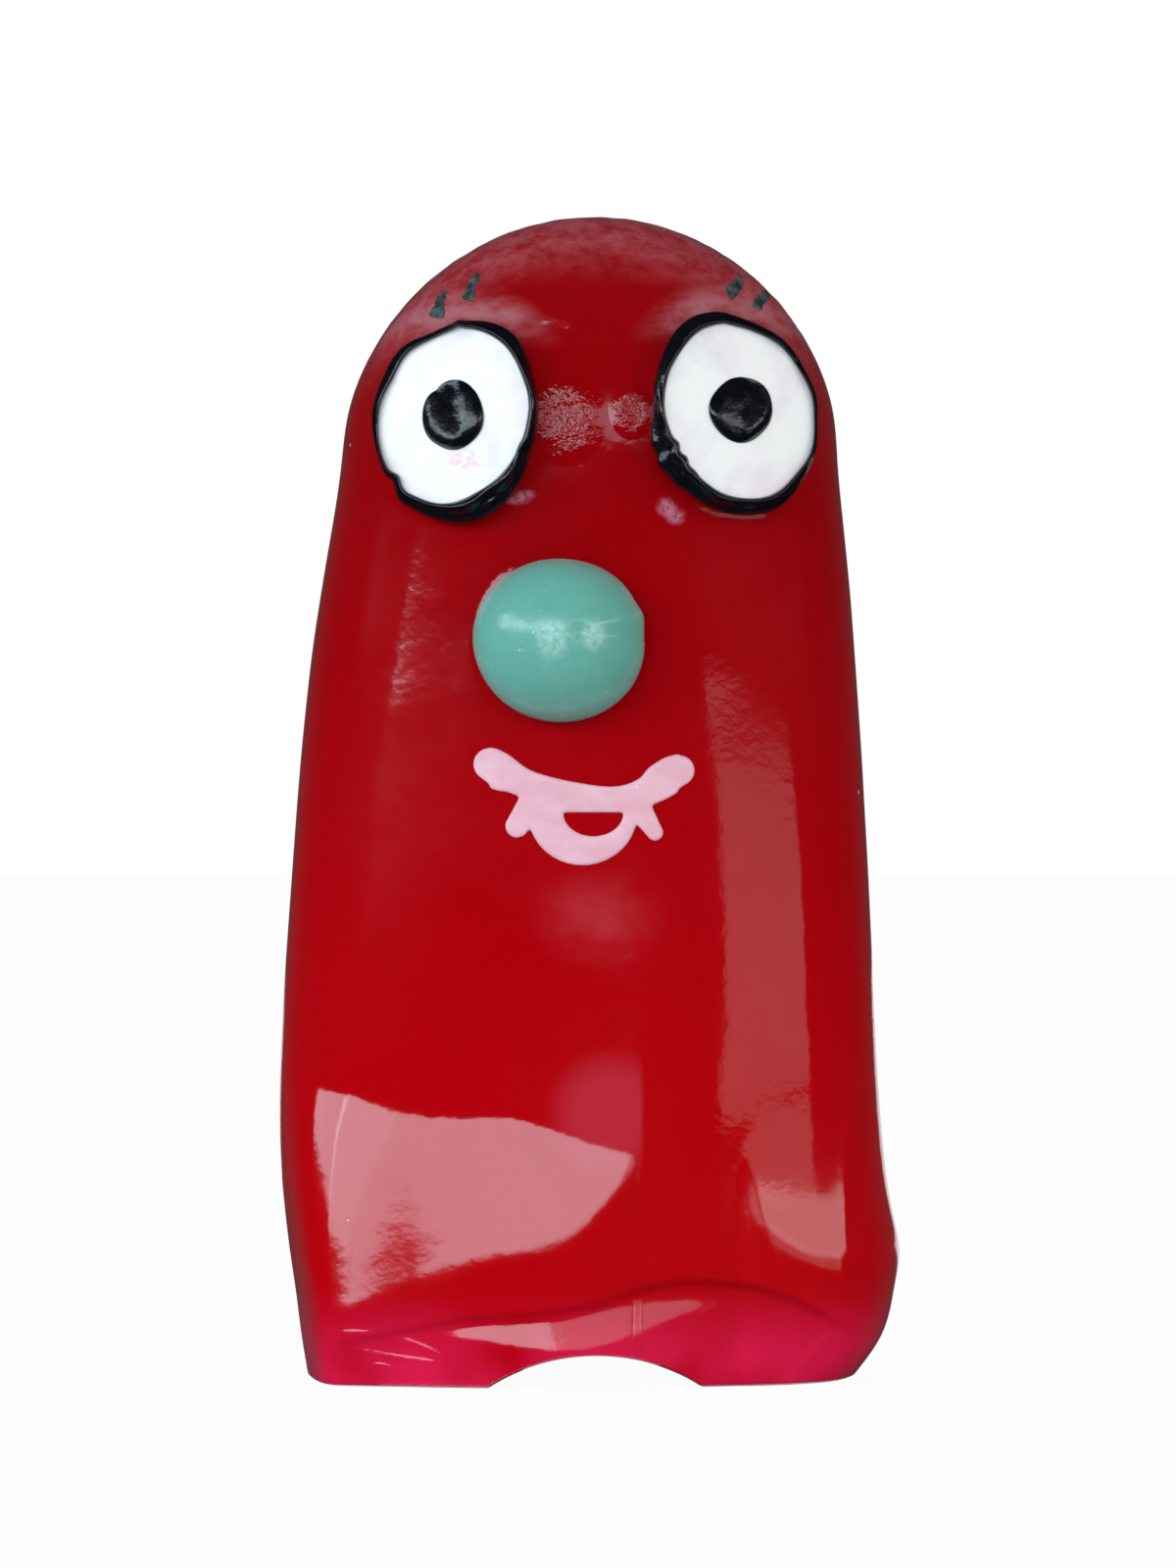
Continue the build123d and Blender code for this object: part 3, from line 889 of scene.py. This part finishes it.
def make_rim(side, seat, material):
    """Black rim round an eye: thick brushed paint with two ridges, from the white down to the skin."""
    angle = np.linspace(0, 2 * math.pi, RIM_COLUMNS, endpoint=False)
    front = FRONT_ANGLES[side](angle)
    inner, width = white_edge(side, front), rim_width(side, front)
    brush = wobble(angle, RIM_WAVES, 41 + SIDES[side])
    heavy = smooth(0.5, 1.2, width)
    # across the band from the white to the skin: share of the width, height over the seat
    profile = [
        (-0.02, 1.30),
        (0.00, 1.60),
        (0.12 + 0.05 * brush, 1.78 + 0.5 * brush),
        (0.32 + 0.3 * brush, 1.80 - 0.08 * heavy + 0.6 * brush),
        (0.50 + 0.2 * brush, 1.68 - 0.34 * heavy + 0.4 * brush),
        (0.66 + 0.3 * brush, 1.52 - 0.30 * heavy - 0.8 * brush),
        (0.84 + 0.1 * brush, 1.30 - 0.2 * heavy),
        (0.97, 1.00),
        (1.00, 0.62),
        (1.00, -1.40),
        (-0.30, -1.40),
        (-0.30, 1.10),
    ]
    rows, faces = [], []
    for i, (share, out) in enumerate(profile):
        reach = inner + share * width
        rows.append(seat.facing(reach * np.cos(angle), reach * np.sin(angle), out + 0 * angle))
        here, there = i * RIM_COLUMNS, (i + 1) % len(profile) * RIM_COLUMNS
        for j in range(RIM_COLUMNS):
            k = (j + 1) % RIM_COLUMNS
            faces.append((here + j, there + j, there + k, here + k))
    rim = add_mesh(side + "_painted_rim", np.concatenate(rows), faces, material, "eye_black", "head")
    refine = rim.modifiers.new("round", "SUBSURF")
    refine.levels = refine.render_levels = 1
    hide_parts(side + "_eye_rim")


# Nose ----
def make_nose(material):
    """Green ball nose: broad and low, with a dimple beside its middle and one kink in its outline."""
    seat = Seat(nose.points(0.0, 0.0, NOSE_BASE), 0.0, NOSE_PITCH)

    def outline(angle):
        kink = 0.16 * np.exp(-(((angle - math.radians(17)) / 0.13) ** 2))
        flat = -0.14 * np.exp(-(((angle - math.radians(-22)) / 0.3) ** 2))
        grow = NOSE_RADIUS + kink + flat + wobble(angle, (0.03, 0.03, 0.02, 0.015, 0.01), 61)
        return grow * np.cos(angle), grow * 0.96 * np.sin(angle)

    def height(share, angle):
        x, y = share * np.cos(angle), share * np.sin(angle)
        off = np.hypot(x - 0.24, y - 0.03)
        ball = NOSE_EDGE + NOSE_DOME * np.clip(1 - share**2.2, 0, 1) ** 0.62
        dimple = 0.08 * np.exp(-((off / 0.30) ** 2)) - 0.17 * np.exp(-((off / 0.10) ** 2))
        return ball + dimple

    ball = disc("nose_ball", seat.points, outline, height, -0.6, 70, material, "nose_green", columns=240)
    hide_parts("nose")


# Mouth and lashes ----
def capsule(x, z, start, end, r0, r1):
    """Distance to a stroke from start to end whose radius goes from r0 to r1, negative inside."""
    (x0, z0), (x1, z1) = start, end
    dx, dz = x1 - x0, z1 - z0
    t = np.clip(((x - x0) * dx + (z - z0) * dz) / (dx * dx + dz * dz), 0, 1)
    return np.hypot(x - x0 - t * dx, z - z0 - t * dz) - (r0 + (r1 - r0) * t)


def union(distances, width):
    """Smooth union of distances, rounded over width in its corners."""
    total = distances[0]
    for d in distances[1:]:
        h = np.clip(0.5 + 0.5 * (total - d) / width, 0, 1)
        total = total * (1 - h) + d * h - width * h * (1 - h)
    return total


def patch(name, distance, box, step, rise, thickness, edge, find, material, slot):
    """A painted shape on the skin, cut along distance 0, that rises over its edge's width to rise."""
    x_low, x_high, z_low, z_high = box
    gx, gz = np.meshgrid(np.arange(x_low, x_high + step, step), np.arange(z_low, z_high + step, step))
    d = distance(gx, gz)
    d = np.where(np.abs(d) < 1e-6, 1e-6, d)
    places, index, faces = [], {}, []

    def number(key, place):
        if key not in index:
            index[key] = len(places)
            places.append(place)
        return index[key]

    def crossing(a, b):
        a, b = sorted((a, b))
        t = d[a] / (d[a] - d[b])
        x = gx[a] + t * (gx[b] - gx[a])
        z = gz[a] + t * (gz[b] - gz[a])
        return number((a, b), (x, z, 0.0))

    for i, j in np.ndindex(gx.shape[0] - 1, gx.shape[1] - 1):
        cell = [(i, j), (i, j + 1), (i + 1, j + 1), (i + 1, j)]
        face = []
        for a, b in zip(cell, cell[1:] + cell[:1]):
            if d[a] < 0:
                face.append(number(a, (gx[a], gz[a], -d[a])))
            if (d[a] < 0) != (d[b] < 0):
                face.append(crossing(a, b))
        if face:
            faces.append(tuple(face))
    places = np.array(places)
    points, normals = find(places[:, 0], places[:, 1])
    lift = rise * np.sqrt(smooth(0, edge, places[:, 2])) + 0.02 * smooth(0, 0.6, places[:, 2])
    points = points + normals * (lift + 0.01)[:, None]
    piece = add_mesh(name, points, faces, material, slot, "head")
    thick = piece.modifiers.new("thickness", "SOLIDIFY")
    thick.thickness = thickness * MM
    thick.offset = -1.0
    return piece


# Step of the grid that the paint is cut from, its rise and thickness, and the width of its edge
MOUTH_PAINT = (0.09, 0.09, 0.3, 0.12)
LASH_PAINT = (0.045, 0.07, 0.25, 0.1)
LASH_MARGIN = 0.7  # of a stroke's grid past its ends


def make_mouth(find, material):
    """Pink mouth: a grin with round ends, a tongue-shaped loop with a gap, and two small tabs."""
    low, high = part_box("mouth")
    left, right, foot, top = low.x / MM, high.x / MM, low.z / MM, high.z / MM
    width = right - left
    # from here on, x runs from the left end and z from the top
    lip = curve(
        [(0.7, 0), (1.7, -0.18), (2.75, -0.95), (3.9, -1.45), (6.4, -1.98), (8.3, -2.02), (9.5, -1.42),
         (width - 1.9, -0.62), (width - 1.0, -0.35)]
    )
    chin = curve(
        [(0.6, -2.1), (1.9, -2.42), (3.2, -2.95), (5.0, -3.55), (8.3, -3.55), (width - 2.3, -3.1),
         (width - 1.0, -2.45), (width - 0.4, -2.0)]
    )

    def distance(x, z):
        x, z = x - left, z - top
        band = np.maximum(z - lip(x), chin(x) - z) * 0.85
        band = np.maximum(band, np.maximum(0.9 - x, x - width + 0.95))
        ends = [
            np.hypot(x - 0.83, z + 0.83) - 0.84,
            capsule(x, z, (0.83, -0.85), (1.5, -1.5), 0.84, 0.8),
            capsule(x, z, (width - 0.85, -1.2), (width - 1.9, -1.75), 0.86, 0.95),
        ]
        tabs = [
            capsule(x, z, (3.2, -3.1), (2.38, -4.3), 0.8, 0.65),
            capsule(x, z, (width - 3.1, -3.3), (width - 2.2, -4.66), 0.7, 0.46),
        ]
        loop = (np.hypot((x - 6.05) / 3.05, (z + 3.6) / 2.9) - 1) * 2.9
        loop = np.maximum(loop, z + 3.0)
        gap = (np.hypot((x - 6.65) / 1.68, (z + 3.55) / 1.32) - 1) * 1.3
        gap = union([gap, z + 3.55], -0.15)
        shape = union([band, *ends, *tabs, loop], 0.22)
        return union([shape, -gap], -0.1)

    box = (left - 0.4, right + 0.4, foot - 0.5, top + 0.4)
    mouth = patch("painted_mouth", distance, box, *MOUTH_PAINT, find, material, "mouth_pink")
    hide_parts("mouth")


LASHES = {
    # name: foot (x, z), tip (x, z), half width at foot and tip
    "left_outer_lash": ((-8.6, 60.32), (-8.25, 61.5), 0.43, 0.12),
    "left_inner_lash": ((-6.85, 61.2), (-6.45, 62.35), 0.32, 0.2),
    "right_inner_lash": ((8.05, 61.5), (8.5, 62.2), 0.38, 0.26),
    "right_outer_lash": ((9.45, 60.75), (9.95, 61.35), 0.3, 0.28),
}


def make_lashes(find, material):
    """Short worn strokes over the eyes, as they lie on the dome."""
    for name, (foot, tip, foot_half, tip_half) in LASHES.items():

        def distance(x, z):
            ragged = 0.05 * np.sin(9 * x + 3 * z) + 0.04 * np.sin(17 * z + 5 * x)
            return capsule(x, z, foot, tip, foot_half, tip_half) + ragged

        (x_low, x_high), (z_low, z_high) = (sorted(pair) for pair in zip(foot, tip))
        box = (x_low - LASH_MARGIN, x_high + LASH_MARGIN, z_low - LASH_MARGIN, z_high + LASH_MARGIN)
        stroke = patch("painted_" + name, distance, box, *LASH_PAINT, find, material, "lash_grey")
        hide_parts(name)


# Stage ----
PLAIN_WHITE = (1.0, 1.0, 1.0, 1)
FLOOR_GREYS = (0.84, 0.84, 0.84, 1), (0.86, 0.86, 0.86, 1)
FLOOR_HALF = 1500.0
FLOOR_GLOW = 0.96  # plain white's share of the floor as it is seen; the rest of it keeps the shadow
FILL = 0.42  # strength of the even light from all round


def seen_directly(tree):
    """1 for rays from the camera, mirrors and glass, 0 for the light that falls on things."""
    path = tree.nodes.new("ShaderNodeLightPath")
    total = path.outputs["Is Camera Ray"]
    for name in ("Is Glossy Ray", "Is Transmission Ray"):
        node = tree.nodes.new("ShaderNodeMath")
        node.operation = "MAXIMUM"
        tree.links.new(total, node.inputs[0])
        tree.links.new(path.outputs[name], node.inputs[1])
        total = node.outputs[0]
    return total


def make_floor():
    """Plain pale floor that looks nearly white and keeps the puppet's shadow."""
    n = Nodes("floor")
    n.set(Base_Color=n.mix(n.noise(30, 2), *FLOOR_GREYS), Roughness=0.9, Specular_IOR_Level=0.1)
    glow = n.add("ShaderNodeEmission")
    mix = n.add("ShaderNodeMixShader")
    n.link(n.times(seen_directly(n.tree), FLOOR_GLOW), mix.inputs["Fac"])
    n.link(n.shader.outputs[0], mix.inputs[1])
    n.link(glow.outputs[0], mix.inputs[2])
    n.link(mix.outputs[0], n.tree.nodes["Material Output"].inputs["Surface"])
    sides = ((-1, -1), (1, -1), (1, 1), (-1, 1))
    corners = [(x * FLOOR_HALF, y * FLOOR_HALF, 0) for x, y in sides]
    floor = add_mesh("floor", corners, [(0, 1, 2, 3)], n.material)


def direction(azimuth, rise):
    """Unit vector from the puppet towards a light: azimuth 0 is the camera's side, + is its right."""
    a, e = math.radians(azimuth), math.radians(rise)
    return Vector((math.sin(a) * math.cos(e), -math.cos(a) * math.cos(e), math.sin(e)))


def make_softbox(name, azimuth, rise, distance, width, height, radiance, tint, aim):
    """A rectangular area light that faces aim, as bright as radiance."""
    data = bpy.data.lights.new(name, "AREA")
    data.shape = "RECTANGLE"
    data.size, data.size_y = width * MM, height * MM
    data.energy = radiance * math.pi * data.size * data.size_y
    data.color = tint
    lamp = show(name, data)
    out = direction(azimuth, rise)
    lamp.location = (Vector(aim) + out * distance) * MM
    lamp.rotation_euler = (-out).to_track_quat("-Z", "Y").to_euler()
    lamp.visible_camera = False


def make_world():
    """Even fill light, and a background that is plain white where it is seen."""
    world = bpy.data.worlds.new("world")
    bpy.context.scene.world = world
    world.use_nodes = True
    tree = world.node_tree
    fill, white = tree.nodes["Background"], tree.nodes.new("ShaderNodeBackground")
    for node, strength in ((fill, FILL), (white, 1.0)):
        node.inputs["Color"].default_value = PLAIN_WHITE
        node.inputs["Strength"].default_value = strength
    mix = tree.nodes.new("ShaderNodeMixShader")
    tree.links.new(seen_directly(tree), mix.inputs["Fac"])
    tree.links.new(fill.outputs[0], mix.inputs[1])
    tree.links.new(white.outputs[0], mix.inputs[2])
    tree.links.new(mix.outputs[0], tree.nodes["World Output"].inputs["Surface"])


CLOTH_EDGE = 14.0  # the black cloth lies on the floor from here out
CLOTH_SHARE = 0.78  # and from this share of it along Y
TENT_RADIUS, TENT_COLUMNS, TENT_ROWS = 1200.0, 120, 14
TENT_BACK = (155, 168)  # between these angles from the camera's side both give way to the white
TENT_OPENING = 50  # there the tent starts this many degrees up


def make_tent():
    """Black tent and cloth on the camera's side, which keep the gloss of the front dark."""
    n = Nodes("black_cloth")
    n.set(Base_Color=(0.02, 0.02, 0.02, 1), Roughness=1.0, Specular_IOR_Level=0.0)
    azimuths = np.linspace(-180, 180, TENT_COLUMNS)
    behind = [float(smooth(*TENT_BACK, abs(azimuth))) for azimuth in azimuths]
    points = []
    for azimuth, share in zip(azimuths, behind):
        edge = direction(azimuth, 0) * (CLOTH_EDGE + (TENT_RADIUS - CLOTH_EDGE) * share)
        points.append((edge.x, edge.y * CLOTH_SHARE, 0.1))
    for i in range(TENT_ROWS):
        for azimuth, share in zip(azimuths, behind):
            low = TENT_OPENING * share
            points.append(direction(azimuth, low + (90 - low) * i / (TENT_ROWS - 1)) * TENT_RADIUS)
    faces = grid_faces(TENT_ROWS + 1, TENT_COLUMNS, closed=False)
    tent = add_mesh("black_tent", points, faces, n.material)
    tent.visible_camera = tent.visible_diffuse = tent.visible_shadow = False


COOL, PLAIN = (0.83, 0.99, 1.12), (1, 1, 1)
BELLY, SMILE = (0, 0, 20), (0, 0, 38.5)
# Name, azimuth and rise in degrees, distance, width, height, radiance, tint, and where it aims
SOFTBOXES = (
    ("left_softbox_0", -73.5, 22.8, 700, 360, 182, 5.2, COOL, BELLY),
    ("left_softbox_1", -44.5, 20.3, 700, 360, 182, 5.7, COOL, BELLY),
    ("left_softbox_2", -14.5, 19.0, 700, 360, 182, 5.1, COOL, BELLY),
    ("middle_softbox", 13, 19, 700, 298, 160, 1.8, COOL, BELLY),
    ("right_softbox", 57.5, 20, 700, 729, 147, 3.0, PLAIN, BELLY),
    ("right_strip", 46, 0, 150, 100, 27, 0.95, PLAIN, SMILE),
)


make_camera()
red, black, white = vinyl(), black_paint(), white_paint()
green, pink, grey = green_vinyl(), pink_paint(), grey_paint()
skin = make_skin(red)
find_skin = surface_finder(skin)
for side, seat in eyes.items():
    make_white(side, seat, white)
    make_pupil(side, seat, black)
    make_rim(side, seat, black)
make_nose(green)
make_mouth(find_skin, pink)
make_lashes(find_skin, grey)
make_floor()
make_tent()
make_world()
for row in SOFTBOXES:
    make_softbox(*row)

bpy.context.scene.view_settings.view_transform = "Standard"
